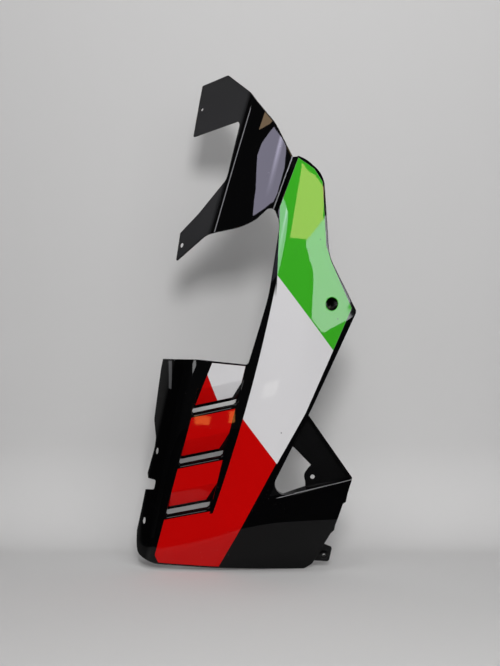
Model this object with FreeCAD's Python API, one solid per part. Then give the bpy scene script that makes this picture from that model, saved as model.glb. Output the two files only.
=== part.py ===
import FreeCAD, Part
import math
import os

from FreeCAD import Vector

# Left-hand belly pan of a motorbike, moulded in one piece of painted plastic, in millimetres.
# X runs to the rear, Y inboard, Z up. The origin is the mouth of the bolt well on the arm.

# Walls
wall = 3.0
rim_depth = 16.0
rim_wall = 2.6

# Skin, seen from above: places are measured across the panel along lines that lean like its nose
lean = 0.203
nose_place = -192.0
nose_depth = 31.0
nose_round = 12.0
gill_fold_place = -94.0
gill_fold_depth = 3.0
gill_fold_round = 26.0
flange_reach = 66.0
flange_depth = 110.0
roll_place = -34.0
roll_angle = 19.0
skin_rear = 102.0

# Skin, seen from behind: heights with their depths, then the chine where the belly tucks under
skin_heights = [(252.0, 27.0), (170.0, 12.0), (70.0, 3.0), (-50.0, -1.0), (-170.0, -3.0), (-270.0, -3.0)]
arm_foot = -100.0
belly_roll = 0.55
chine_height = -328.0
chine_round = 19.0
chine_drop = 50.0
chine_drop_start = -48.0
chine_drop_run = 125.0
tuck = 0.45
skin_foot = -412.0

# Wing: a recessed panel with a flap folded back along its crease
wing_lean = 0.29
wing_crease_place = -210.0
wing_crease_depth = 53.0
wing_crease_round = 8.0
wing_foot_depth = 27.0
wing_bulge = [(30.0, 0.45), (58.0, 0.16), (86.0, 0.0), (115.0, -0.06)]
wing_heights = [(402.0, 15.0), (330.0, 7.0), (250.0, 3.0), (170.0, 3.0), (100.0, 5.0), (38.0, 9.0)]
flap_angle = 45.0
flap_reach = 115.0
wing_cut_slant = 0.5

# Gills: the lower part of each slat is pressed in, which leaves an open slot above the next one
gill_count = 3
gill_corner = (-212.0, -167.0)
gill_run = 69.5
gill_rise = 16.0
gill_pitch = 77.0
gill_lean = 0.255
gill_hinge = 35.0
gill_slot = 9.0
gill_press = 11.0
gill_front_draft = -2.0
gill_rear_draft = 17.0
gill_wall = 2.4
gill_end_cut = 2.2

# Fixings
well_radius = 9.8
well_depth = 27.0
well_wall = 2.4
bolt_radius = 3.4
flange_hole_radius = 5.2
upper_flap_hole_radius = 2.8
lower_flap_hole_radius = 4.0
ear_hole_radius = 3.3
tab_hole_radius = 3.2
seat_wall = 1.7
seat_margin = 3.2
collar_radius = 6.4
collar_height = 5.0

# Strut across the rear bay, and the ledge along the lip under it
strut_wall = 3.0
strut_root = (-45.0, -190.0)
strut_depth = 3.0
strut_slope = (0.085, -0.03)
strut_edge = 8.0
ledge_depth = 15.0
ledge_rise = 7.0

# How far a joined body sinks into the one that it meets
sink = 0.4

# Gussets round the bolt well
gusset_count = 3
gusset_wall = 2.0
gusset_reach = 16.0

# Reach of tools that cut or trim right through
FAR = 600.0


def knots_of(poles):
    """Knots of a clamped cubic, spaced like its poles."""
    run = [0.0]
    for here, following in zip(poles, poles[1:]):
        run.append(run[-1] + (following - here).Length)
    return [0.0] + [sum(run[i:i + 3]) / 3 for i in range(1, len(poles) - 3)] + [run[-1]]


def net_knots(net):
    """Knots down and across a control net, taken on its middle lines."""
    return knots_of([row[len(row) // 2] for row in net]), knots_of(net[len(net) // 2])


def spline_surface(net):
    """Cubic surface on a control net, clamped at its four sides."""
    knots = net_knots(net)
    mults = [[4] + [1] * (len(k) - 2) + [4] for k in knots]
    surface = Part.BSplineSurface()
    surface.buildFromPolesMultsKnots(net, *mults, *knots, False, False, 3, 3)
    return surface


def set_in(net, depth):
    """The net moved inboard by a depth along its own normals."""
    def places(knots):
        full = knots[:1] * 3 + knots + knots[-1:] * 3
        return [sum(full[i + 1:i + 4]) / 3 for i in range(len(knots) + 2)]

    surface = spline_surface(net)
    down, across = (places(k) for k in net_knots(net))
    moved = []
    for u, row in zip(down, net):
        line = []
        for v, pole in zip(across, row):
            inward = surface.normal(u, v)
            if inward.y < 0:
                inward = inward * -1
            line.append(pole + inward * depth)
        moved.append(line)
    return moved


def slab(net, front, back):
    """Solid between the net's surface set in by front and by back."""
    outer = spline_surface(set_in(net, front))
    inner = spline_surface(set_in(net, back))
    u0, u1, v0, v1 = outer.bounds()
    faces = [outer.toShape(), inner.toShape()]
    for u in (u0, u1):
        faces.append(Part.makeRuledSurface(outer.uIso(u).toShape(), inner.uIso(u).toShape()))
    for v in (v0, v1):
        faces.append(Part.makeRuledSurface(outer.vIso(v).toShape(), inner.vIso(v).toShape()))
    shell = Part.makeShell(faces)
    shell.sewShape()
    solid = Part.Solid(Part.Shell(shell.Faces))
    if solid.Volume < 0:
        solid.reverse()
    return solid


def rounded_wire(corners, place):
    """Closed wire of lines and tangent arcs; each corner is (a, b, radius) and place puts it in space."""
    points = [Vector(a, b, 0) for a, b, _ in corners]
    edges, last, first = [], None, None
    for i, (_, _, radius) in enumerate(corners):
        here, before, after = points[i], points[i - 1], points[(i + 1) % len(points)]
        back = (before - here).normalize()
        on = (after - here).normalize()
        half = back.getAngle(on) / 2
        run = radius / math.tan(half) if radius else 0.0
        start, end = here + back * run, here + on * run
        if last is not None:
            edges.append(Part.makeLine(place(last), place(start)))
        else:
            first = start
        if radius:
            middle = here + (back + on).normalize() * (radius / math.sin(half) - radius)
            edges.append(Part.Arc(place(start), place(middle), place(end)).toShape())
        last = end
    edges.append(Part.makeLine(place(last), place(first)))
    return Part.Wire(edges)


def side_face(corners):
    """Face in the XZ plane."""
    return Part.Face(rounded_wire(corners, lambda p: Vector(p.x, 0, p.y)))


def through(face, slant=0.0):
    """Prism of a face in the XZ plane, run both ways along Y, or along a line that drifts in X."""
    run = Vector(slant * FAR, FAR, 0)
    start = face.copy()
    start.translate(run * -0.5)
    return start.extrude(run)


def foot_on(surface, x, z):
    """The point of a surface that lies inboard of x, z."""
    line = Part.makeLine(Vector(x, -FAR, z), Vector(x, FAR, z))
    return line.distToShape(surface.toShape())[1][0][1]


def inward_at(surface, point):
    """Normal of a surface at a point, turned inboard."""
    u, v = surface.parameter(point)
    normal = surface.normal(u, v)
    return normal if normal.y > 0 else normal * -1


# Control nets
def skin_net():
    """Plan section of the panel, carried down its height and tucked under below the chine."""
    gill_slope = (nose_depth - gill_fold_depth) / (gill_fold_place - nose_place)
    fold_slope = gill_fold_depth / (roll_place - gill_fold_place)
    plan = []
    for reach, depth in ((1.0, 1.0), (0.74, 0.58), (0.38, 0.23)):
        plan.append((nose_place - reach * flange_reach, nose_depth + depth * flange_depth))
    plan.append((nose_place - nose_round, nose_depth + 0.85 * nose_round))
    for run in (0.0, nose_round, (gill_fold_place - nose_place) / 2):
        plan.append((nose_place + run, nose_depth - gill_slope * run))
    plan.append((gill_fold_place - gill_fold_round, gill_fold_depth + gill_slope * gill_fold_round))
    for run in (0.0, gill_fold_round, roll_place - gill_fold_place):
        plan.append((gill_fold_place + run, gill_fold_depth - fold_slope * run))
    for share in (0.37, 0.66, 1.0):
        plan.append((roll_place + share * (skin_rear - roll_place), 0.0))

    def rear_roll(place, z):
        share = 1.0 if z > arm_foot else belly_roll
        return math.tan(math.radians(roll_angle)) * share * max(place - roll_place, 0.0)

    def crest(place):
        share = (chine_drop_start - place) / chine_drop_run
        return chine_height - chine_drop * min(max(share, 0.0), 1.0)

    net = []
    for z, depth in skin_heights:
        net.append([Vector(p + lean * z, d + depth + rear_roll(p, z), z) for p, d in plan])
    belly_depth = skin_heights[-1][1]
    for below in (-chine_round, 0.0, chine_round, None):
        row = []
        for p, d in plan:
            z = skin_foot if below is None else crest(p) - below
            inset = tuck * max(crest(p) - z, 0.0)
            row.append(Vector(p + lean * z, d + belly_depth + inset + rear_roll(p, z), z))
        net.append(row)
    return net


def wing_net():
    """Plan section of the wing: convex panel, crease, then the flap turned back in a straight fold."""
    turn = math.tan(math.radians(flap_angle))
    fall = wing_crease_depth - wing_foot_depth
    plan = []
    for run in (flap_reach, 0.6 * flap_reach, 0.25 * flap_reach, wing_crease_round, 0.0):
        plan.append((wing_crease_place - run, wing_crease_depth + turn * run))
    for run, share in [(wing_crease_round, 0.85)] + wing_bulge:
        plan.append((wing_crease_place + run, wing_foot_depth + share * fall))
    return [[Vector(p + wing_lean * z, d + depth, z) for p, d in plan] for z, depth in wing_heights]


def shifted(net, depth):
    """The net moved straight inboard."""
    return [[pole + Vector(0, depth, 0) for pole in row] for row in net]


# Both nets are moved so that the well's mouth on the skin is the origin
well_set = -foot_on(spline_surface(skin_net()), 0.0, 0.0).y
SKIN = shifted(skin_net(), well_set)
WING = shifted(wing_net(), well_set)
skin_surface = spline_surface(SKIN)
wing_surface = spline_surface(WING)

# Outlines, as corners with their radii
arm_and_belly = [
    (-51.0, 226.0, 3.0), (-36.0, 218.0, 44.0), (-11.5, 195.0, 44.0), (-4.5, 72.0, 70.0),
    (38.5, -11.0, 8.0), (-31.5, -158.0, 500.0), (-97.0, -285.5, 17.0), (-55.0, -285.0, 60.0),
    (31.0, -263.0, 3.0), (24.0, -285.8, 0), (21.6, -298.0, 0), (17.0, -301.0, 0), (5.8, -332.5, 0),
    (4.2, -341.5, 0), (-1.1, -346.8, 0), (-28.0, -397.0, 8.0), (-40.0, -404.5, 8.0),
    (-330.0, -392.0, 0), (-330.0, -86.0, 0), (-205.0, -83.5, 60.0), (-126.0, -91.0, 5.0),
    (-95.0, 11.0, 350.0), (-78.5, 118.0, 40.0), (-81.0, 140.0, 6.0),
]
rimmed_part = [
    (-128.0, -84.0, 0), (-98.0, 12.0, 0), (-83.0, 115.0, 0), (-86.0, 138.0, 0), (-68.0, 144.0, 0),
    (-42.0, 224.0, 0), (-42.0, 240.0, 0), (60.0, 240.0, 0), (60.0, -90.0, 0), (-55.0, -262.0, 0),
    (-62.0, -296.0, 0), (-104.0, -296.0, 0),
]
wing_outline = [
    (-212.0, 371.0, 5.0), (-150.0, 331.0, 60.0), (-98.0, 278.0, 90.0), (-65.0, 219.0, 0),
    (-97.0, 130.0, 0), (-108.0, 143.3, 0), (-136.7, 119.9, 115.0), (-222.0, 109.0, 40.0),
    (-291.5, 71.0, 2.0), (-287.0, 117.0, 3.0), (-245.0, 145.0, 100.0), (-184.0, 195.0, 20.0),
    (-165.5, 288.0, 8.0), (-281.0, 276.0, 2.0), (-275.5, 363.5, 2.0),
]
flange_trim = [
    (96.0, -60.0, 0), (94.0, -100.0, 20.0), (79.0, -180.0, 20.0), (60.0, -206.0, 16.0),
    (58.0, -222.0, 20.0), (64.0, -262.0, 3.0), (59.0, -269.5, 1.5), (37.0, -269.5, 3.5),
    (37.0, -284.0, 3.5), (60.0, -287.0, 1.5), (60.0, -318.0, 30.0), (61.0, -352.0, 4.0),
    (49.0, -384.0, 12.0), (20.0, -395.0, 8.0), (20.0, -430.0, 0), (220.0, -430.0, 0),
    (220.0, -60.0, 0),
]
strut_outline = [
    (-46.0, -162.0, 0), (-34.5, -167.5, 0), (31.5, -262.0, 3.0), (30.0, -270.0, 0),
    (-39.5, -284.0, 0), (-40.0, -267.0, 20.0), (-42.5, -256.5, 12.0), (-34.5, -245.5, 2.0),
    (-31.0, -242.3, 1.0), (-57.5, -214.6, 0), (-68.0, -214.0, 0),
]
tab_outline = [
    (-34.0, -358.0, 0), (-12.0, -365.0, 2.0), (2.0, -371.0, 3.0), (-2.0, -394.0, 4.0),
    (-36.0, -392.0, 0),
]
arch_under_wing = [
    (-87.3, 153.8, 9.0), (-79.4, 124.5, 0), (-90.0, 100.0, 0), (-112.0, 100.0, 0),
    (-112.0, 131.0, 0),
]
step_ends = [(224.0, -51.0, -61.0), (130.0, -84.2, -92.0)]
strut_edge_ends = [(-40.0, -159.5), (29.5, -260.5)]
ledge_lip = [(-74.0, -284.6, 0.0), (-52.0, -283.3, 0.8), (-20.0, -275.6, 1.0), (28.0, -265.0, 1.0)]
flange_span = (-340.0, -225.0)
flange_holes = [(-267.4, -226.3), (-287.2, -333.4)]
flap_holes = [(-201.5, 321.4), (-232.4, 96.7)]
ear_hole = (-28.9, -260.2)
tab_hole = (-9.9, -382.8)


def disc(centre, axis, radius, start, stop):
    """Cylinder along an axis through a centre, from one depth on it to another."""
    return Part.makeCylinder(radius, stop - start, centre + axis * start, axis)


def ruled_solid(*sections):
    """Solid with flat or ruled sides through closed sections of equal corner counts."""
    wires = [Part.makePolygon(list(points) + [points[0]]) for points in sections]
    return Part.makeLoft(wires, True, True)


def behind_face(shape):
    """A body kept behind the middle of the skin's wall, so that nothing of it shows on the outer face."""
    return shape.cut(slab(SKIN, -2 * rim_depth, wall / 2))


def skin():
    """Wall of the arm, belly and folded nose flange, trimmed to its outlines."""
    shell = slab(SKIN, 0.0, wall).common(through(side_face(arm_and_belly)))
    trim = Part.Face(rounded_wire(flange_trim, lambda p: Vector(flange_span[0], p.x, p.y)))
    return shell.cut(trim.extrude(Vector(flange_span[1] - flange_span[0], 0, 0)))


def rim():
    """Turned-in edge of the arm and of the rear bay."""
    outline = side_face(arm_and_belly)
    ring = outline.cut(outline.makeOffset2D(-rim_wall)).common(side_face(rimmed_part))
    behind_gills = [row[7:] for row in SKIN]
    return slab(behind_gills, wall / 2, rim_depth).common(through(ring))


def wing():
    """Recessed wing with its folded flap."""
    return slab(WING, 0.0, wall).common(through(side_face(wing_outline), wing_cut_slant))


def step():
    """Slanted wall between the arm's face and the recessed wing."""
    def section(z, arm_x, wing_x):
        on_arm = foot_on(skin_surface, arm_x, z)
        on_wing = foot_on(wing_surface, wing_x, z)
        sunk = Vector(sink, sink, 0)
        return [on_arm + sunk, on_wing + sunk, on_wing + Vector(wall, wall, 0),
                on_arm + Vector(2 * wall, wall, 0) - sunk]

    return ruled_solid(*(section(*end) for end in step_ends))


def joins(edge, one, other):
    """Whether an edge runs between two points."""
    middle = (one + other) * 0.5
    return (edge.CenterOfMass - middle).Length < sink


def gill(number):
    """Pressed body behind one slat, and the space that it leaves in front."""
    drop = gill_pitch * number
    x, z = gill_corner[0] - gill_lean * drop, gill_corner[1] - drop
    corner = foot_on(skin_surface, x, z)
    across = foot_on(skin_surface, x + gill_run, z + gill_rise) - corner
    width = across.Length
    across.normalize()
    up = foot_on(skin_surface, x + gill_lean * gill_pitch, z + gill_pitch) - corner
    inward = up.cross(across).normalize()
    if inward.y < 0:
        inward = inward * -1
    square = across.cross(inward).normalize()
    up = up * (1 / up.dot(square))

    def section(pairs, rear, spread):
        points = []
        for height, depth in pairs:
            if rear:
                along = width - gill_rear_draft * depth / gill_press + spread
            else:
                along = gill_front_draft * depth / gill_press - spread
            points.append(corner + across * along + up * height + inward * depth)
        return points

    slope = gill_press / (gill_hinge - gill_slot)
    proud = 2 * wall
    space = [(gill_hinge + proud / slope, -proud), (-proud * gill_slot / gill_press, -proud),
             (gill_slot, gill_press)]
    skin_mid = wall / 2
    offset = gill_wall * math.sqrt(1 + slope * slope)
    body = [(gill_hinge + (offset - skin_mid) / slope, skin_mid), (gill_slot, skin_mid),
            (gill_slot, gill_press + offset)]
    pressed = ruled_solid(section(body, False, gill_wall), section(body, True, gill_wall))
    cavity = ruled_solid(section(space, False, 0.0), section(space, True, 0.0))
    lower = [section(space, rear, 0.0)[1:] for rear in (False, True)]
    ends = [edge for edge in cavity.Edges if any(joins(edge, *pair) for pair in lower)]
    cavity = cavity.makeChamfer(gill_end_cut, ends)
    return behind_face(pressed), cavity


def well():
    """Deep cup for the main bolt, and its bore."""
    centre = Vector(0, 0, 0)
    axis = inward_at(skin_surface, centre)
    cup = disc(centre, axis, well_radius + well_wall, wall / 2, well_depth + wall)
    bore = disc(centre, axis, well_radius, -wall, well_depth)
    bolt = disc(centre, axis, bolt_radius, well_depth - wall, well_depth + 3 * wall)
    return cup, bore.fuse(bolt)


def gussets():
    """Thin webs from the well's cup to the skin, evenly set round it."""
    axis = inward_at(skin_surface, Vector(0, 0, 0))
    across = axis.cross(Vector(0, 0, 1)).normalize()
    webs = []
    for number in range(gusset_count):
        turn = FreeCAD.Rotation(axis, 90.0 + 360.0 * number / gusset_count)
        out = turn.multVec(across)
        side = out.cross(axis) * gusset_wall

        def corner(reach, depth):
            return out * reach + axis * depth - side * 0.5

        inside = well_radius + well_wall / 2
        web = Part.Face(Part.makePolygon([corner(inside, wall / 2), corner(inside + gusset_reach, wall / 2),
                                          corner(inside, wall + gusset_reach), corner(inside, wall / 2)]))
        webs.append(behind_face(web.extrude(side)))
    return webs


def seated_hole(surface, x, z, radius):
    """Fixing hole square to a surface, in a square seat thinned from behind."""
    centre = foot_on(surface, x, z)
    axis = inward_at(surface, centre)
    across = axis.cross(Vector(0, 0, 1)).normalize() * (radius + seat_margin)
    up = across.cross(axis)
    ends = []
    for depth in (seat_wall, 3 * wall):
        middle = centre + axis * depth
        ends.append([middle + across + up, middle - across + up, middle - across - up, middle + across - up])
    return ruled_solid(*ends).fuse(disc(centre, axis, radius, -wall, 2 * wall))


def strut_plane(x, z):
    """Depth of the strut's face."""
    return strut_depth + strut_slope[0] * (x - strut_root[0]) + strut_slope[1] * (z - strut_root[1])


def strut():
    """Flat bar across the rear bay with an ear for a bolt and a raised rear edge."""
    plate = Part.Face(rounded_wire(strut_outline, lambda p: Vector(p.x, strut_plane(p.x, p.y), p.y)))
    bar = plate.extrude(Vector(0, strut_wall, 0))
    top, foot = (Vector(x, 0, z) for x, z in strut_edge_ends)
    in_edge = (foot - top).cross(Vector(0, 1, 0)).normalize() * rim_wall
    if in_edge.x > 0:
        in_edge = in_edge * -1

    def section(p):
        deep = strut_plane(p.x, p.z) + strut_wall / 2
        return [Vector(q.x, d, q.z) for q, d in ((p, deep), (p + in_edge, deep), (p + in_edge, deep - strut_edge),
                                                 (p, deep - strut_edge))]

    return bar.fuse(ruled_solid(section(top), section(foot)))


def ledge():
    """Sloping shelf along the lip of the rear bay, turned in and up from the belly's edge."""
    sections = []
    for x, z, share in ledge_lip:
        lip = foot_on(skin_surface, x, z)
        back = lip + Vector(0, ledge_depth, share * ledge_rise)
        front = lip + Vector(0, wall / 3, 0)
        sections.append([front, back, back - Vector(0, 0, rim_wall), front - Vector(0, 0, rim_wall)])
    parts = [ruled_solid(a, b) for a, b in zip(sections, sections[1:])]
    return parts[0].multiFuse(parts[1:])


def rear_tab():
    """Ear under the rear edge, in line with the tucked-under belly, with a collar for a bolt."""
    centre = foot_on(skin_surface, *tab_hole)
    axis = Vector(0, 1, tuck).normalize()

    def place(p):
        return Vector(p.x, centre.y + wall / 2 + tuck * (centre.z - p.y), p.y)

    plate = Part.Face(rounded_wire(tab_outline, place)).extrude(axis * wall)
    collar = disc(centre, axis, collar_radius, -wall / 3, collar_height)
    return plate.fuse(collar), disc(centre, axis, tab_hole_radius, -collar_height, 2 * collar_height)


def build():
    """The whole panel: everything added is joined, then the gill spaces and holes are cut."""
    panel = skin()
    added = [rim(), wing(), step(), strut(), ledge()]
    cuts = []
    for number in range(gill_count):
        pressed, cavity = gill(number)
        added.append(pressed)
        cuts.append(cavity)
    cup, bore = well()
    tab, tab_bore = rear_tab()
    added += [cup, tab] + gussets()
    cuts += [bore, tab_bore, through(side_face(arch_under_wing))]
    cuts += [seated_hole(skin_surface, x, z, flange_hole_radius) for x, z in flange_holes]
    for place, radius in zip(flap_holes, (upper_flap_hole_radius, lower_flap_hole_radius)):
        cuts.append(seated_hole(wing_surface, *place, radius))
    ear = Vector(ear_hole[0], strut_plane(*ear_hole), ear_hole[1])
    cuts.append(disc(ear, Vector(0, 1, 0), ear_hole_radius, -wall, 3 * wall))
    for shape in added:
        panel = panel.fuse(shape)
    for shape in cuts:
        panel = panel.cut(shape)
    return panel.removeSplitter()


os.makedirs("parts", exist_ok=True)
belly_pan = build()
belly_pan.exportStep("parts/belly_pan.step")
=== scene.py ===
import math

import bpy
import numpy as np
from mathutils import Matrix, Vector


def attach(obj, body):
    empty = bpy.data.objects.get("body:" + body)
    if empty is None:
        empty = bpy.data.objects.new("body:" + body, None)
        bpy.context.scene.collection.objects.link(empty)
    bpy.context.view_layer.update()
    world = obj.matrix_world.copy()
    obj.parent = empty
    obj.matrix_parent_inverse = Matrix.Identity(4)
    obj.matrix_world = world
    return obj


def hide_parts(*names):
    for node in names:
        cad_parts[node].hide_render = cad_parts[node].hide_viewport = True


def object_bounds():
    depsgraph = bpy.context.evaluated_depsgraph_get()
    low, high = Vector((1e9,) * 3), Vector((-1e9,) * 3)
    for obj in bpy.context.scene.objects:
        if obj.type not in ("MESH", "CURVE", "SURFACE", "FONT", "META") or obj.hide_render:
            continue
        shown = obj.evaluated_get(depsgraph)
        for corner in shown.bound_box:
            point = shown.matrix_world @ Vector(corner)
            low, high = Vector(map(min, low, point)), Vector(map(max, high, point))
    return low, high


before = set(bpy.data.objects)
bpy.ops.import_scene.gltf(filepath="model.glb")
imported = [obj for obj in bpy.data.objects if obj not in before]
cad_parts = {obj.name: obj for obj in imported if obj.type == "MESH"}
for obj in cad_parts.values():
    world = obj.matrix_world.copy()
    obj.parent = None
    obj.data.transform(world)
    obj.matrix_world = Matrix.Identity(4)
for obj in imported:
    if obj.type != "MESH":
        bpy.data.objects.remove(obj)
cad_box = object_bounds()

# Millimetres in a metre
MM = 1000

# Skin, in millimetres: places run along the panel on lines that lean, depths run inboard
LEAN = 0.203
NOSE_PLACE = -192.0
NOSE_DEPTH = 31.0
NOSE_ROUND = 12.0
NOSE_SLOPE = 0.85
GILL_FOLD_PLACE = -94.0
GILL_FOLD_DEPTH = 3.0
GILL_FOLD_ROUND = 26.0
FLANGE_REACH = 66.0
FLANGE_DEPTH = 110.0
FLANGE_SHARES = ((1.0, 1.0), (0.74, 0.58), (0.38, 0.23))
ROLL_PLACE = -34.0
ROLL_ANGLE = 19.0
ROLL_SHARES = (0.37, 0.66, 1.0)
SKIN_REAR = 102.0
SKIN_HEIGHTS = ((252.0, 27.0), (170.0, 12.0), (70.0, 3.0), (-50.0, -1.0), (-170.0, -3.0), (-270.0, -3.0))
ARM_FOOT = -100.0
BELLY_ROLL = 0.55
CHINE_HEIGHT = -328.0
CHINE_ROUND = 19.0
CHINE_DROP = 50.0
CHINE_DROP_START = -48.0
CHINE_DROP_RUN = 125.0
TUCK = 0.45
SKIN_FOOT = -412.0

# Wing, in millimetres: its bulge and flap are shares of the depths and the reach
WING_LEAN = 0.29
WING_CREASE_PLACE = -210.0
WING_CREASE_DEPTH = 53.0
WING_CREASE_ROUND = 8.0
WING_FOOT_DEPTH = 27.0
WING_BULGE = ((8.0, 0.85), (30.0, 0.45), (58.0, 0.16), (86.0, 0.0), (115.0, -0.06))
WING_HEIGHTS = ((402.0, 15.0), (330.0, 7.0), (250.0, 3.0), (170.0, 3.0), (100.0, 5.0), (38.0, 9.0))
FLAP_REACH = 115.0
FLAP_SHARES = (1.0, 0.6, 0.25)

# Finer mesh: edges in metres, and how near (in millimetres) and how square (as a cosine) a triangle lies
# to an exact surface to be laid on it; the wing's long triangles may lie further off
LONGEST_EDGE = 0.006
HALVINGS = 9
SLIVER = 2e-7
NEAR = 0.6
SQUARE = 0.85
WING_NEAR = 1.6
WING_SQUARE = 0.97
WING_FOOT = 0.15
SHARP_ANGLE = math.radians(35)
SEARCH_STEPS = 25
SEARCH_REACH = 60.0
REACHED = 1e-3

# Fields of colour on the outer face, as lines through two points (x, z), in millimetres
GREEN_WHITE = ((-81.2, 41.6), (1.6, -69.0))
WHITE_RED = ((-134.9, -170.1), (-84.4, -236.7))
RED_BLACK = ((-84.4, -238.2), (-169.8, -395.3))
STEP_BORDER = ((-53.8, 210.8), (-80.9, 138.4))
ARM_FRONT_BORDER = ((-78.5, 130.0), (-82.2, 41.0))
ARM_TOP = (((-47.3, 220.1), (-26.0, 204.2)), ((-26.0, 204.2), (-15.4, 186.8)))
ARM_REAR = (((-13.5, 175.7), (-8.7, 87.4)), ((-8.7, 87.4), (-1.2, 63.3)), ((-1.2, 63.3), (30.5, -5.6)))
DIAGONAL_UPPER = ((28.0, -12.0), (-40.1, -163.2))
DIAGONAL_LOWER = ((-40.1, -163.2), (-81.6, -235.8))
BAND_FRONT = ((-129.0, -90.0), (-173.0, -270.6))
SLAT_FRONT_TOP = ((-178.8, -85.7), (-207.6, -156.9))
SLAT_FRONT = ((-207.6, -156.9), (-254.7, -332.7))
FOOT_CORNER = ((-266.8, -383.0), (-261.5, -395.0))
SLAT_WHITE_RED = ((-187.9, -105.4), (-171.0, -148.6))
GILL_FOOT = ((-254.0, -328.0), (-176.6, -312.5))
PANEL_TOP = ((-205.0, -86.5), (-126.0, -93.5))
PANEL_FOOT = ((-330.0, -389.5), (-40.0, -402.0))
CREASE = ((-120.7, 310.6), (-175.9, 119.0))
STRUT_ROOT = ((38.5, -11.0), (-97.0, -285.5))
LIP = ((-97.0, -290.0), (32.5, -262.0))
STEP_FOOT = ((-57.5, 227.0), (-87.0, 146.0))

# Rear side of the black band, as a curve through two heights
BAND_REAR_POINT = (-82.2, 40.7)
BAND_REAR_SLOPE = 0.2414
BAND_REAR_BEND = -0.0002174
BAND_REAR_SECOND = -169.7

# Slots under the gills, with the black border round each one
GILL_COUNT = 3
GILL_CORNER = (-212.0, -167.0)
GILL_PITCH = 77.0
GILL_LEAN = 0.255
GILL_SLOPE = 0.23
SLOT_BORDER = (-5.0, 12.3)

# Zones of the wall, in millimetres or as parts of its facing, some with the width of their soft edge
EDGE = 0.4
OUTER_FACING = (-0.24, 0.12)
GILL_FRONT_FACING = (-0.55, 0.1)
GILL_REAR_FACING = (0.6, 0.1)
FLAP_FADE = 8.0
FLAP_FOOT = 60.0
STRUT_FADE = 1.0
STRUT_START = 4.0
LEDGE_START = 3.0
STRUT_HEIGHT = -100.0
WELL_RADIUS = 10.6
WELL_FADE = 8.0
WELL_TILT = 0.33
WELL_START = (0.8, 0.3)
STEP_FACING = (-0.5, 0.1)
STEP_FADE = 1.0
STEP_START = 40.0
STEP_HEIGHT = 100.0
STRIP_FRONT = -96.0
STRIP_TOP = (128.0, 4.0)
STRIP_FADE = (20.0, 20.0)
STRIP_DULL = 0.9
NOSE_FACING = (-0.5, 0.2)
NOSE_START = (12.0, 6.0)
NOSE_TOP = (-80.0, 4.0)
NOSE_DULL = 0.75

# Painted highlights along edges, as light bands beside a line, and small nicks (x, z), in millimetres
LIP_HIGHLIGHT = (-2.6, -1.5)
LIP_HIGHLIGHT_START = (-82.0, 6.0)
SLOT_HIGHLIGHT = (-3.2, -2.3)
SLOT_HIGHLIGHT_ENDS = (3.0, -6.0)
SLOT_HIGHLIGHT_SHARE = 0.5
STEP_HIGHLIGHT = (-0.9, 0.9)
STEP_HIGHLIGHT_FADE = 0.5
STEP_HIGHLIGHT_FOOT = (140.0, 4.0)
HIGHLIGHT_SHARE = 0.8
NICKS = ((-17.6, 96.5), (9.0, -22.2), (-76.5, -192.0))
NICK_SIZE = 1.6
NICK_SHARE = 0.6

# Finishes: linear colours
BLACK = (0.0014, 0.0014, 0.0016, 1)
GREEN = (0.042, 0.39, 0.017, 1)
WHITE = (0.665, 0.656, 0.67, 1)
RED = (0.51, 0.0018, 0.0018, 1)
SATIN = (0.012, 0.012, 0.013, 1)
BARE = (0.0026, 0.0026, 0.0028, 1)
DUST = (0.30, 0.29, 0.28, 1)
# Light grey of the painted highlights along edges, standing in for the gloss on their rounding
PAINTED_HIGHLIGHT = (0.26, 0.26, 0.27, 1)
CLOTH = (0.65, 0.645, 0.643, 1)
BEYOND_CLOTH = (0.02, 0.02, 0.02, 1)

# Surfaces of the finishes: noises as (scale, detail), where dust shows, roughness, and edges in metres
SPECKS = (240.0, 2.0)
PATCHES = (9.0, 3.0)
RIPPLE = (60.0, 1.0)
GRAIN = (1400.0, 2.0)
DUSTY_SPECKS = (0.74, 0.05)
DUSTY_PATCHES = (0.55, 0.15)
DUST_SHARE = 0.10
PAINT_ROUGHNESS = 0.012
PAINT_DRIFT = 0.02
PAINT_IOR = 1.30
PLASTIC_ROUGHNESS = 0.16
PLASTIC_DRIFT = 0.08
PLASTIC_IOR = 1.33
FLAP_ROUGHNESS = 0.26
EDGE_RADIUS = 0.0018

# Studio, in metres
CAMERA = (-0.123, -1.5, -0.0435)
LENS = 54.05
FLOOR = cad_box[0].z
FLOOR_FRONT = (-4.0, -2.0, -0.9, -0.45)
BACKDROP = 0.30
BACKDROP_TOP = (1.0, 2.2)
SWEEP = 0.16
SWEEP_STEPS = 17
SIDE = 3.0
CLOTH_FRONT = (-0.47, 0.06)
CLOTH_REACH = (0.50, 0.08)
ROOM = (0.06, 0.06, 0.062, 1)
AIM = (-0.1, 0.0, 0.0)
LAMPS = (
    ("front lamp", (-0.05, -1.9, 0.65), (0.4, 0.4), 20.0, False),
    ("wide lamp", (0.4, -2.2, 0.8), (2.2, 2.2), 18.0, False),
    ("overhead lamp", (0.0, -0.7, 1.9), (1.5, 1.0), 13.5, True),
)

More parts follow.
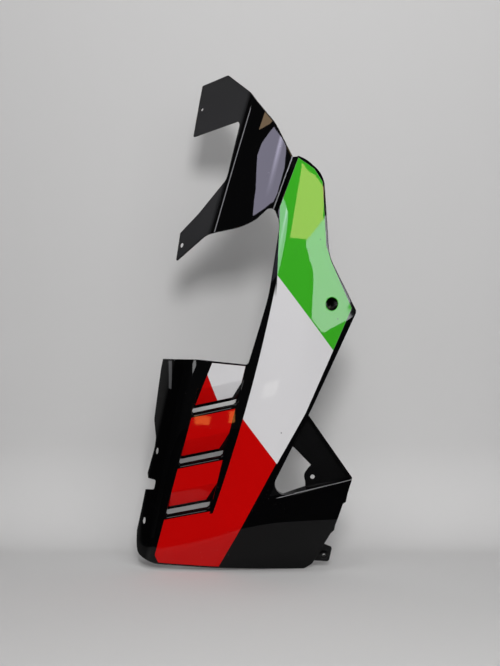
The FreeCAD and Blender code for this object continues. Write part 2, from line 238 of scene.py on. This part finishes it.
# Cards, each on a plane (axis, place) with its glow and its corners on that plane, in metres
FAR_FRONT = (1, -1.9)
NEAR_FRONT = (1, -0.10)
BEHIND = (1, 0.27)
NOSE_SIDE = (0, -1.6)
NO_GLOW = (0.001, 0.001, 0.001)
ORANGE_GLOW = (12.6, 4.1, 0.9)
CARDS = (
    ("cool card", FAR_FRONT, (9.9, 9.4, 12.3), [
        (-1.64, 1.33), (-1.10, 1.25), (-0.81, 1.06), (-0.63, 0.95), (-0.565, 0.86), (-0.50, 0.69),
        (-0.52, 0.52), (-0.56, 0.48), (-0.78, 0.49), (-1.0, 0.515), (-1.16, 0.75), (-1.40, 0.96),
        (-1.715, 1.25)]),
    ("warm card", FAR_FRONT, (15.6, 11.1, 4.6), [
        (-0.41, 1.34), (-0.39, 1.31), (-0.356, 1.03), (-0.34, 0.85), (-0.322, 0.68), (-0.15, 0.64),
        (-0.03, 0.611), (0.19, 0.645), (0.50, 0.68), (0.36, 0.85), (0.25, 0.985), (0.10, 1.048),
        (-0.035, 1.126), (-0.13, 1.20), (-0.36, 1.33)]),
    ("white card", FAR_FRONT, (13.2, 13.5, 14.1), [
        (0.52, 0.68), (0.19, 0.645), (-0.03, 0.611), (-0.022, 0.558), (0.186, 0.43), (0.50, 0.30),
        (0.69, 0.18), (0.80, 0.09), (0.92, 0.0), (0.96, -0.03), (1.36, -0.115), (1.52, -0.145),
        (1.75, -0.145), (1.80, -0.044), (1.85, -0.004), (1.85, 0.08), (1.62, 0.27), (1.05, 0.52),
        (0.66, 0.70)]),
    ("tan card", FAR_FRONT, (8.7, 6.1, 3.7), [
        (-2.21, 1.95), (-1.28, 1.39), (-1.43, 1.42), (-2.27, 1.77)]),
    ("faint card", FAR_FRONT, (3.7, 3.7, 3.4), [
        (-0.30, -0.112), (-0.10, -0.118), (-0.16, -0.176), (-0.315, -0.175)]),
    ("orange card", FAR_FRONT, ORANGE_GLOW, [
        (-1.542, -0.079), (-1.473, -0.079), (-1.473, -0.12), (-1.542, -0.12)]),
    ("second orange card", FAR_FRONT, ORANGE_GLOW, [
        (-1.388, -0.054), (-1.335, -0.054), (-1.286, -0.116), (-1.386, -0.109)]),
    ("nose card", FAR_FRONT, (9.0, 9.0, 9.2), [
        (-3.7, 0.56), (-2.6, 0.42), (-1.87, 0.218), (-2.35, 0.26)]),
    ("rear card", FAR_FRONT, (4.0, 4.0, 4.2), [
        (0.85, 0.78), (2.4, 0.50), (2.4, 1.60), (0.62, 1.40)]),
    ("flange card", BEHIND, (3.6, 3.6, 3.75), [
        (-0.49, -0.05), (-0.54, -0.04), (-0.67, -0.075), (-0.60, -0.085)]),
    ("side card", NOSE_SIDE, (9.0, 9.0, 9.6), [
        (-0.30, 0.50), (-0.10, 0.50), (-0.10, 1.25), (-0.30, 1.25)]),
    ("dark card", NEAR_FRONT, NO_GLOW, [
        (-1.0, -0.403), (0.9, -0.403), (0.9, -0.185), (-1.0, -0.185)]),
    ("second dark card", NEAR_FRONT, NO_GLOW, [
        (0.0, -0.184), (0.0, -0.013), (0.018, -0.023), (0.047, -0.039), (0.062, -0.046), (0.072, -0.047),
        (0.084, -0.041), (0.106, -0.032), (0.127, -0.024), (0.20, 0.01), (0.20, -0.184)]),
)

# Bright streak down the cool card: its line on the card, its two sides, its lower end and its gain
STREAK_CARD = "cool card"
STREAK = ((-0.775, 1.0), (-0.75, 0.55))
STREAK_FRONT = (-0.03, 0.06)
STREAK_BACK = (0.06, 0.10)
STREAK_END = (0.76, 0.4)
STREAK_GAIN = 2.3


class Wire:
    """A socket of a material's tree; arithmetic on it adds Math nodes."""

    def __init__(self, tree, socket=None):
        self.tree = tree
        self.socket = socket

    def node(self, kind, settings=None, inputs=None, output=0):
        """A node of a kind, with its settings first and then the values or links of its sockets."""
        made = self.tree.nodes.new(kind)
        for name, value in (settings or {}).items():
            setattr(made, name, value)
        for key, value in (inputs or {}).items():
            if isinstance(value, Wire):
                self.tree.links.new(value.socket, made.inputs[key])
            else:
                made.inputs[key].default_value = value
        return Wire(self.tree, made.outputs[output])

    def maths(self, operation, *values, clamp=False):
        settings = {"operation": operation, "use_clamp": clamp}
        return self.node("ShaderNodeMath", settings, dict(enumerate(values)))

    def __add__(self, other):
        return self.maths("ADD", self, other)

    def __radd__(self, other):
        return self.maths("ADD", other, self)

    def __sub__(self, other):
        return self.maths("SUBTRACT", self, other)

    def __rsub__(self, other):
        return self.maths("SUBTRACT", other, self)

    def __mul__(self, other):
        return self.maths("MULTIPLY", self, other)

    def __rmul__(self, other):
        return self.maths("MULTIPLY", other, self)

    def __truediv__(self, other):
        return self.maths("DIVIDE", self, other)

    def __rtruediv__(self, other):
        return self.maths("DIVIDE", other, self)

    def least(self, other):
        return self.maths("MINIMUM", self, other)

    def most(self, other):
        return self.maths("MAXIMUM", self, other)

    def over(self, level, soft=EDGE):
        """1 where the value is above a level, 0 below, over a soft edge."""
        return self.maths("ADD", (self - level) / soft, 0.5, clamp=True)

    def under(self, level, soft=EDGE):
        """1 where the value is below a level, 0 above, over a soft edge."""
        return 1 - self.over(level, soft)

    def between(self, levels, soft=EDGE):
        """1 between two levels, 0 outside them, over soft edges."""
        return self.over(levels[0], soft) * self.under(levels[1], soft)

    def mix(self, low, high):
        """Colour that goes from low to high as this value goes from 0 to 1."""
        settings = {"data_type": "RGBA", "clamp_factor": True}
        return self.node("ShaderNodeMix", settings, {0: self, 6: low, 7: high}, output=2)

    def split(self, parts):
        """The named parts of a vector: 0, 1 and 2 are x, y and z."""
        return [self.node("ShaderNodeSeparateXYZ", inputs={0: self}, output=part) for part in parts]

    def noise(self, scale, detail):
        """Noise over this vector."""
        return self.node("ShaderNodeTexNoise", inputs={"Vector": self, "Scale": scale, "Detail": detail})


def new_material(name):
    """A material, its tree and its shader."""
    material = bpy.data.materials.new(name)
    material.use_nodes = True
    tree = material.node_tree
    return material, tree, tree.nodes["Principled BSDF"]


def feed(tree, shader, **wires):
    """Links wires to the shader's named sockets."""
    for name, wire in wires.items():
        tree.links.new(wire.socket, shader.inputs[name.replace("_", " ").title()])


def show(tree, mixed):
    """Links a finished shader to the material's output."""
    tree.links.new(mixed.socket, tree.nodes["Material Output"].inputs[0])


def object_place(tree):
    """Object coordinates, in metres."""
    return Wire(tree).node("ShaderNodeTexCoord", output=3)


def x_on(line, z):
    """x on a line at a height: one multiply-add."""
    (x0, z0), (x1, z1) = line
    slope = (x1 - x0) / (z1 - z0)
    return z.maths("MULTIPLY_ADD", z, slope, x0 - slope * z0)


def z_on(line, x):
    """z on a line at a place along the panel: one multiply-add."""
    (x0, z0), (x1, z1) = line
    slope = (z1 - z0) / (x1 - x0)
    return x.maths("MULTIPLY_ADD", x, slope, z0 - slope * x0)


def slot_rises(x, z):
    """Height above the foot of each slot, which climbs to the rear."""
    corner_x, corner_z = GILL_CORNER
    rises = []
    for drop in GILL_PITCH * np.arange(GILL_COUNT):
        foot_x, foot_z = float(corner_x - drop * GILL_LEAN), float(corner_z - drop)
        rises.append(z - foot_z - (x - foot_x) * GILL_SLOPE)
    return rises


def paint_fields(x, z, gill_walls):
    """Masks of the green, white and red fields, each 0 to 1, from places in millimetres."""
    drop = z - BAND_REAR_POINT[1]
    bend = drop * (z - BAND_REAR_SECOND) * BAND_REAR_BEND
    band_rear = BAND_REAR_POINT[0] + drop * BAND_REAR_SLOPE + bend
    front = x_on(STEP_BORDER, z).most(band_rear.least(x_on(ARM_FRONT_BORDER, z)))
    rear = x_on(ARM_REAR[0], z).most(x_on(ARM_REAR[1], z)).most(x_on(ARM_REAR[2], z))
    for line in (*ARM_TOP, DIAGONAL_UPPER, DIAGONAL_LOWER):
        rear = rear.least(x_on(line, z))
    arm = x.over(front) * x.under(rear)
    green = arm * x.over(x_on(GREEN_WHITE, z))
    below = x.under(x_on(WHITE_RED, z))
    white = arm * (1 - below) * (1 - green)

    slat_front = x_on(SLAT_FRONT_TOP, z).most(x_on(SLAT_FRONT, z))
    under_gills = z.under(z_on(GILL_FOOT, x))
    foot = z.over(z_on(PANEL_FOOT, x)) * x.over(x_on(FOOT_CORNER, z)) * x.over(slat_front)
    belly = x.under(x_on(RED_BLACK, z)) * foot * below * x.over(band_rear).most(under_gills)

    slats = x.over(slat_front) * x.under(x_on(BAND_FRONT, z)) * z.under(z_on(PANEL_TOP, x))
    slats = slats * (1 - under_gills) * (1 - gill_walls)
    rises = slot_rises(x, z)
    for rise in rises:
        slats = slats * (1 - rise.between(SLOT_BORDER))
    slat_white = slats * rises[0].over(0) * x.over(x_on(SLAT_WHITE_RED, z))
    return green, white.most(slat_white), belly.most(slats * (1 - slat_white))


def painted_edge_highlights(x, z):
    """Painted highlights: thin light lines along the lip, under the slots and at the foot of the step."""
    off_lip = z - z_on(LIP, x)
    highlit = off_lip.between(LIP_HIGHLIGHT) * x.over(*LIP_HIGHLIGHT_START) * z.under(STRUT_HEIGHT)
    front = x_on(SLAT_FRONT_TOP, z).most(x_on(SLAT_FRONT, z)) + SLOT_HIGHLIGHT_ENDS[0]
    rear = x_on(BAND_FRONT, z) + SLOT_HIGHLIGHT_ENDS[1]
    for rise in slot_rises(x, z):
        highlit = highlit.most(rise.between(SLOT_HIGHLIGHT) * x.over(front) * x.under(rear) * SLOT_HIGHLIGHT_SHARE)
    off_step = x - x_on(STEP_FOOT, z)
    return highlit.most(off_step.between(STEP_HIGHLIGHT, STEP_HIGHLIGHT_FADE) * z.over(*STEP_HIGHLIGHT_FOOT))


def worn_and_highlit_colour(x, z, colour, dust):
    """The paint's colour with painted edge highlights, dust and round nicks."""
    # Painted highlight: light grey lines along edges, in place of the gloss that would catch light there
    colour = (painted_edge_highlights(x, z) * HIGHLIGHT_SHARE).mix(colour, PAINTED_HIGHLIGHT)
    colour = dust.mix(colour, DUST)
    for nick_x, nick_z in NICKS:
        off_x, off_z = x - nick_x, z - nick_z
        nick = (off_x * off_x * NICK_SIZE + off_z * off_z).under(NICK_SIZE, NICK_SIZE)
        colour = (nick * NICK_SHARE).mix(colour, BLACK)
    return colour


def moulding_finish():
    """Gloss paint in fields on the outer face, satin flaps, bare plastic behind and dull inner corners."""
    material, tree, paint = new_material("painted plastic")
    start = Wire(tree)
    place = object_place(tree)
    x, y, z = (part * MM for part in place.split((0, 1, 2)))
    facing_x, facing_y = start.node("ShaderNodeNewGeometry", output=1).split((0, 1))

    outer = facing_y.under(*OUTER_FACING)
    gill_walls = facing_x.under(*GILL_FRONT_FACING).most(facing_x.over(*GILL_REAR_FACING))
    flap = x.under(x_on(CREASE, z) - FLAP_FADE, FLAP_FADE) * z.over(FLAP_FOOT)
    strut = x.over(x_on(STRUT_ROOT, z) + STRUT_START, STRUT_FADE)
    strut = strut * z.over(z_on(LIP, x) + LEDGE_START, STRUT_FADE) * z.under(STRUT_HEIGHT, STRUT_FADE)
    well = (x * x + z * z).under(WELL_RADIUS * WELL_RADIUS, WELL_FADE)
    well = well * y.over(x * WELL_TILT + WELL_START[0], WELL_START[1])
    step_wall = facing_x.under(*STEP_FACING) * x.over(x_on(CREASE, z) + STEP_START, STEP_FADE)
    step_wall = step_wall * z.over(STEP_HEIGHT, STEP_FADE)
    front_strip = x.under(x_on(ARM_FRONT_BORDER, z)) * x.over(STRIP_FRONT) * z.under(*STRIP_TOP)
    front_strip = front_strip * z.over(*STRIP_FADE) * outer
    nose = facing_x.under(*NOSE_FACING) * x.under(x_on(SLAT_FRONT, z) - NOSE_START[0], NOSE_START[1])
    nose = nose * z.under(*NOSE_TOP)
    bare = (1 - outer).most(strut).most(well).most(step_wall)
    dull = step_wall.most(front_strip * STRIP_DULL).most(nose * NOSE_DULL)

    specks = place.noise(*SPECKS)
    patches = place.noise(*PATCHES)
    dust = specks.over(*DUSTY_SPECKS) * patches.over(*DUSTY_PATCHES) * DUST_SHARE
    green, white, red = paint_fields(x, z, gill_walls)
    colour = green.mix(BLACK, GREEN)
    colour = white.mix(colour, WHITE)
    colour = red.mix(colour, RED)
    colour = worn_and_highlit_colour(x, z, well.mix(colour, BLACK), dust)
    rounded = start.node("ShaderNodeBevel", {"samples": 8}, {"Radius": EDGE_RADIUS})
    wave = start.node("ShaderNodeBump", inputs={
        "Strength": 0.012, "Distance": 0.001, "Height": place.noise(*RIPPLE), "Normal": rounded})
    feed(tree, paint, base_color=colour, roughness=PAINT_ROUGHNESS + patches * PAINT_DRIFT, normal=wave)
    paint.inputs["IOR"].default_value = PAINT_IOR

    pits = start.node("ShaderNodeBump", inputs={
        "Strength": 0.25, "Distance": 0.0004, "Height": place.noise(*GRAIN), "Normal": rounded})
    plastic = start.node("ShaderNodeBsdfPrincipled", inputs={
        "Base Color": dust.mix(bare.mix(SATIN, BARE), DUST), "Normal": pits, "IOR": PLASTIC_IOR,
        "Roughness": PLASTIC_ROUGHNESS + patches * PLASTIC_DRIFT + flap * FLAP_ROUGHNESS})

    matte = start.node("ShaderNodeBsdfDiffuse", inputs={"Color": BLACK})
    gloss = Wire(tree, paint.outputs[0])
    mixed = start.node("ShaderNodeMixShader", inputs={0: bare.most(flap), 1: gloss, 2: plastic})
    show(tree, start.node("ShaderNodeMixShader", inputs={0: dull, 1: mixed, 2: matte}))
    return material


def add_mesh(name, points, faces, material):
    """Object at the origin from arrays of points and faces."""
    mesh = bpy.data.meshes.new(name)
    mesh.from_pydata(np.asarray(points).tolist(), [], [list(face) for face in faces])
    mesh.materials.append(material)
    made = bpy.data.objects.new(name, mesh)
    bpy.context.collection.objects.link(made)
    return made


def skin_net():
    """Control points of the skin: a plan section (place, depth) is carried down the heights, set in by the
    bulge of each height, tucked in below the chine and rolled off behind the roll line.
    """
    gill_slope = (NOSE_DEPTH - GILL_FOLD_DEPTH) / (GILL_FOLD_PLACE - NOSE_PLACE)
    fold_slope = GILL_FOLD_DEPTH / (ROLL_PLACE - GILL_FOLD_PLACE)
    reach, fall = np.array(FLANGE_SHARES).T
    flange = NOSE_PLACE - np.append(FLANGE_REACH * reach, NOSE_ROUND)
    gills = np.array([NOSE_PLACE, NOSE_PLACE + NOSE_ROUND, (NOSE_PLACE + GILL_FOLD_PLACE) / 2,
                      GILL_FOLD_PLACE - GILL_FOLD_ROUND])
    arm = np.array([GILL_FOLD_PLACE, GILL_FOLD_PLACE + GILL_FOLD_ROUND, ROLL_PLACE])
    rear = ROLL_PLACE + np.array(ROLL_SHARES) * (SKIN_REAR - ROLL_PLACE)
    place = np.concatenate([flange, gills, arm, rear])
    depth = np.concatenate([NOSE_DEPTH + np.append(FLANGE_DEPTH * fall, NOSE_SLOPE * NOSE_ROUND),
                            NOSE_DEPTH - gill_slope * (gills - NOSE_PLACE),
                            GILL_FOLD_DEPTH - fold_slope * (arm - GILL_FOLD_PLACE), 0 * rear])
    heights, bulge = np.array(SKIN_HEIGHTS).T
    crest = CHINE_HEIGHT - CHINE_DROP * np.clip((CHINE_DROP_START - place) / CHINE_DROP_RUN, 0.0, 1.0)
    upper = np.repeat(heights[:, None], len(place), axis=1)
    z = np.vstack([upper, crest + CHINE_ROUND, crest, crest - CHINE_ROUND, np.full(len(place), SKIN_FOOT)])
    inset = bulge[-1] + TUCK * np.maximum(crest - z, 0.0)
    inset[:len(heights)] = bulge[:, None]
    roll_off = math.tan(math.radians(ROLL_ANGLE)) * np.maximum(place - ROLL_PLACE, 0.0)
    roll_off = roll_off * np.where(z > ARM_FOOT, 1.0, BELLY_ROLL)
    return np.stack([place + LEAN * z, depth + inset + roll_off, z], axis=2)


def wing_net():
    """Control points of the wing: a flap that runs inboard as far as it runs forward from the crease, and a
    convex panel behind it, as one section (place, depth) carried down the heights with their bulge.
    """
    back = np.append(FLAP_REACH * np.array(FLAP_SHARES), (WING_CREASE_ROUND, 0.0))
    run, share = np.array(WING_BULGE).T
    place = WING_CREASE_PLACE + np.append(-back, run)
    hollow = WING_CREASE_DEPTH - WING_FOOT_DEPTH
    depth = np.append(WING_CREASE_DEPTH + back, WING_FOOT_DEPTH + share * hollow)
    heights, bulge = np.array(WING_HEIGHTS).T
    z = np.repeat(heights[:, None], len(place), axis=1)
    return np.stack([place + WING_LEAN * z, depth + bulge[:, None], z], axis=2)


def run_along(line):
    """Length along a line of points, at each point."""
    return np.append(0.0, np.cumsum(np.linalg.norm(np.diff(line, axis=0), axis=1)))


def knots_of(line):
    """Full clamped knots of a cubic, spaced like its poles: each inner knot is a mean of three lengths."""
    run = run_along(line)
    inner = [run[i:i + 3].mean() for i in range(1, len(line) - 3)]
    return np.array([0.0] * 4 + inner + [run[-1]] * 4)


def weights_at(knots, t):
    """Cubic weights at t and their slopes, by the recursion of Cox and de Boor."""
    t = np.clip(t, knots[0], knots[-1] - 1e-7)[:, None]
    weights = ((knots[:-1] <= t) & (t < knots[1:])).astype(float)
    for degree in (1, 2, 3):
        span = knots[degree:] - knots[:-degree]
        share = np.divide(1.0, span, out=np.zeros_like(span), where=span > 0)
        slopes = degree * (weights[:, :-1] * share[:-1] - weights[:, 1:] * share[1:])
        rising = (t - knots[:-degree]) * share
        weights = rising[:, :-1] * weights[:, :-1] + (1 - rising[:, 1:]) * weights[:, 1:]
    return weights, slopes


class Surface:
    """Clamped cubic surface on a control net, read as a depth y over places x, z."""

    def __init__(self, net):
        self.net = net
        self.rows, self.columns = net.shape[:2]
        self.middle_row = net[self.rows // 2]
        self.middle_column = net[:, self.columns // 2]
        self.down = knots_of(self.middle_column)
        self.across = knots_of(self.middle_row)

    def at(self, u, v):
        """Points and the two tangents: the poles weighted down the net, then across it."""
        a, da = weights_at(self.down, u)
        b, db = weights_at(self.across, v)
        flat = self.net.reshape(self.rows, -1)
        lines = (a @ flat).reshape(-1, self.columns, 3)
        turned = (da @ flat).reshape(-1, self.columns, 3)
        point = np.einsum("nj,njk->nk", b, lines)
        return point, np.einsum("nj,njk->nk", b, turned), np.einsum("nj,njk->nk", db, lines)

    def over(self, x, z):
        """Depth and outward normal over places x, z, by Newton's steps on the two parameters."""
        share = np.linspace(0, 1, self.rows)
        u = np.interp(-z, -self.middle_column[:, 2], share) * self.down[-1]
        first, last = self.net[0, 0], self.net[-1, 0]
        slope = (first[0] - last[0]) / (first[2] - last[2])
        row = self.middle_row
        v = np.interp(x - slope * z, row[:, 0] - slope * row[:, 2], run_along(row))
        for _ in range(SEARCH_STEPS):
            point, du, dv = self.at(u, v)
            miss_x, miss_z = x - point[:, 0], z - point[:, 2]
            area = du[:, 0] * dv[:, 2] - du[:, 2] * dv[:, 0]
            area = np.where(np.abs(area) < 1e-9, 1e-9, area)
            step_u = np.clip((miss_x * dv[:, 2] - miss_z * dv[:, 0]) / area, -SEARCH_REACH, SEARCH_REACH)
            step_v = np.clip((miss_z * du[:, 0] - miss_x * du[:, 2]) / area, -SEARCH_REACH, SEARCH_REACH)
            u = np.clip(u + step_u, 0, self.down[-1])
            v = np.clip(v + step_v, 0, self.across[-1])
        point, du, dv = self.at(u, v)
        normal = np.cross(du, dv)
        normal /= np.linalg.norm(normal, axis=1)[:, None]
        normal *= -np.sign(normal[:, 1:2])
        miss = np.hypot(x - point[:, 0], z - point[:, 2])
        return point[:, 1], normal, miss


def surfaces():
    """Skin and wing, moved inboard so that the skin's face passes through the origin."""
    skin, wing = Surface(skin_net()), Surface(wing_net())
    move = skin.over(np.zeros(1), np.zeros(1))[0][0]
    for surface in (skin, wing):
        surface.net[:, :, 1] -= move
    return skin, wing


def merged(points, triangles):
    """Triangles that share their points: places alike to a micrometre become one."""
    _, first, index = np.unique(np.round(points * 1e6), axis=0, return_index=True, return_inverse=True)
    return points[first], index.reshape(-1)[triangles]


def halved(points, triangles, longest):
    """Each edge over a length gets its middle point, and its triangles become two, three or four."""
    ends = np.sort(np.stack([triangles, np.roll(triangles, -1, axis=1)], axis=2).reshape(-1, 2), axis=1)
    edges, index = np.unique(ends, axis=0, return_inverse=True)
    split = np.linalg.norm(points[edges[:, 0]] - points[edges[:, 1]], axis=1) > longest
    middle = np.where(split, len(points) + np.cumsum(split) - 1, -1)
    points = np.vstack([points, points[edges[split]].mean(axis=1)])
    cut = middle[index.reshape(-1, 3)]
    count = (cut >= 0).sum(axis=1)
    start = np.where(count == 1, np.argmax(cut >= 0, axis=1), (np.argmin(cut >= 0, axis=1) + 1) % 3)
    order = (start[:, None] + np.arange(3)) % 3
    a, b, c = np.take_along_axis(triangles, order, 1).T
    p, q, r = np.take_along_axis(cut, order, 1).T
    fans = (((a, b, c),), ((a, p, c), (p, b, c)), ((p, b, q), (a, p, q), (a, q, c)),
            ((a, p, r), (p, b, q), (r, q, c), (p, q, r)))
    pieces = [np.stack(fan, axis=1)[count == number] for number, group in enumerate(fans) for fan in group]
    return points, np.vstack(pieces)


def finer_mesh(mesh):
    """Points and triangles of a copy whose edges are halved until they are short."""
    points = np.empty(len(mesh.vertices) * 3)
    mesh.vertices.foreach_get("co", points)
    triangles = np.empty(len(mesh.loops), dtype=np.int64)
    mesh.loops.foreach_get("vertex_index", triangles)
    points, triangles = merged(points.reshape(-1, 3), triangles.reshape(-1, 3))
    for _ in range(HALVINGS):
        points, triangles = halved(points, triangles, LONGEST_EDGE)
    return points, triangles


def smooth_panel(cad, material):
    """Finer copy of the moulding: a triangle that lies near an exact surface and square to its normal takes
    the surface's depth and normals, and the rest keep their own.
    """
    points, triangles = finer_mesh(cad.data)
    a, b, c = (points[triangles[:, corner]] for corner in range(3))
    flat = np.cross(b - a, c - a)
    size = np.linalg.norm(flat, axis=1)
    flat /= np.maximum(size, 1e-12)[:, None]
    outer = np.zeros(len(triangles), dtype=bool)
    exact = np.zeros((len(triangles), 3, 3))
    for surface in surfaces():
        depth, normal, miss = surface.over(points[:, 0] * MM, points[:, 2] * MM)
        off = np.where(miss < REACHED, np.abs(depth - points[:, 1] * MM), np.inf)[triangles].max(axis=1)
        square = np.einsum("nk,nck->nc", flat, normal[triangles]).min(axis=1)
        lies = (off < NEAR) & ((square > SQUARE) | (size < SLIVER))
        lies |= (off < WING_NEAR) & (square > WING_SQUARE) & (c[:, 2] > WING_FOOT)
        used = np.unique(triangles[lies])
        points[used, 1] = depth[used] / MM
        exact[lies] = normal[triangles[lies]]
        outer |= lies
    made = add_mesh("smooth_belly_pan", points, triangles.tolist(), material)
    made.data.shade_smooth()
    made.data.set_sharp_from_angle(angle=SHARP_ANGLE)
    normals = np.empty(len(triangles) * 9, dtype=np.float32)
    made.data.corner_normals.foreach_get("vector", normals)
    normals = np.where(outer[:, None, None], exact, normals.reshape(-1, 3, 3))
    made.data.normals_split_custom_set(normals.reshape(-1, 3).tolist())
    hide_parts("belly_pan")
    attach(made, "root")


def cloth_finish():
    """Pale cloth round the object, dark beyond it, and clear when seen from behind."""
    material, tree, shader = new_material("pale cloth")
    start = Wire(tree)
    along, depth = object_place(tree).split((0, 1))
    off_centre = along.maths("ABSOLUTE", along - CAMERA[0])
    cloth = depth.over(*CLOTH_FRONT) * off_centre.under(*CLOTH_REACH)
    feed(tree, shader, base_color=cloth.mix(BEYOND_CLOTH, CLOTH))
    shader.inputs["Roughness"].default_value = 0.95
    shader.inputs["Specular IOR Level"].default_value = 0.1
    back = start.node("ShaderNodeNewGeometry", output=6)
    clear = start.node("ShaderNodeBsdfTransparent")
    cloth_shader = Wire(tree, shader.outputs[0])
    show(tree, start.node("ShaderNodeMixShader", inputs={0: back, 1: cloth_shader, 2: clear}))
    return material


def sweep():
    """Floor that turns up into a backdrop: its profile (y, z) is level, a quarter circle, then upright."""
    turn = np.linspace(0, math.pi / 2, SWEEP_STEPS)
    bend = BACKDROP - SWEEP + SWEEP * np.sin(turn)
    y = np.concatenate([FLOOR_FRONT, bend, [BACKDROP] * len(BACKDROP_TOP)])
    z = np.concatenate([np.zeros(len(FLOOR_FRONT)), SWEEP - SWEEP * np.cos(turn), BACKDROP_TOP]) + FLOOR
    side = np.array([-SIDE, SIDE])
    n = len(y)
    points = np.stack([np.repeat(side, n), np.tile(y, 2), np.tile(z, 2)], axis=1)
    faces = [(i, n + i, n + i + 1, i + 1) for i in range(n - 1)]
    made = add_mesh("floor and backdrop", points, faces, cloth_finish())
    made.data.shade_smooth()


def brighten(tree, shader, shade):
    """Soft bright streak down a card: sharp on its front side, slow on the other."""
    across, up = object_place(tree).split((0, 2))
    off = across - x_on(STREAK, up)
    streak = off.over(*STREAK_FRONT) * off.under(*STREAK_BACK) * up.over(*STREAK_END)
    feed(tree, shader, emission_color=streak.mix((*shade, 1), (*(shade * STREAK_GAIN), 1)))


def cards():
    """Flat cards around the object, glowing or dark, which only its gloss shows."""
    for name, (axis, place), glow, corners in CARDS:
        material, tree, shader = new_material(name)
        shade = np.array(glow) / max(glow)
        shader.inputs["Base Color"].default_value = (0, 0, 0, 1)
        shader.inputs["Emission Color"].default_value = (*shade, 1)
        shader.inputs["Emission Strength"].default_value = max(glow)
        if name == STREAK_CARD:
            brighten(tree, shader, shade)
        points = np.insert(np.array(corners), axis, place, axis=1)
        made = add_mesh(name, points, [range(len(points))], material)
        made.visible_camera = False
        made.visible_diffuse = False
        made.visible_shadow = False


def lamp(name, place, size, power, shows):
    """Soft lamp at a place, turned to the object; one that shows is also seen in the gloss."""
    light = bpy.data.lights.new(name, "AREA")
    light.shape = "RECTANGLE"
    light.size, light.size_y = size
    light.energy = power
    made = bpy.data.objects.new(name, light)
    made.location = place
    way = np.array(AIM) - np.array(place)
    tip = math.acos(-way[2] / np.linalg.norm(way))
    made.rotation_euler = (tip, 0, math.atan2(way[1], way[0]) - math.pi / 2)
    made.visible_glossy = shows
    bpy.context.collection.objects.link(made)


def studio():
    """Camera at the photograph's place, soft lamps in front and overhead, and a dim even room."""
    data = bpy.data.cameras.new("camera")
    data.sensor_width = 36.0
    data.lens = LENS
    camera = bpy.data.objects.new("camera", data)
    camera.location = CAMERA
    camera.rotation_euler = (math.pi / 2, 0, 0)
    bpy.context.collection.objects.link(camera)
    bpy.context.scene.camera = camera
    for values in LAMPS:
        lamp(*values)
    world = bpy.data.worlds.new("room")
    world.use_nodes = True
    world.node_tree.nodes["Background"].inputs[0].default_value = ROOM
    bpy.context.scene.world = world
    bpy.context.scene.view_settings.view_transform = "Standard"


smooth_panel(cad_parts["belly_pan"], moulding_finish())
sweep()
cards()
studio()
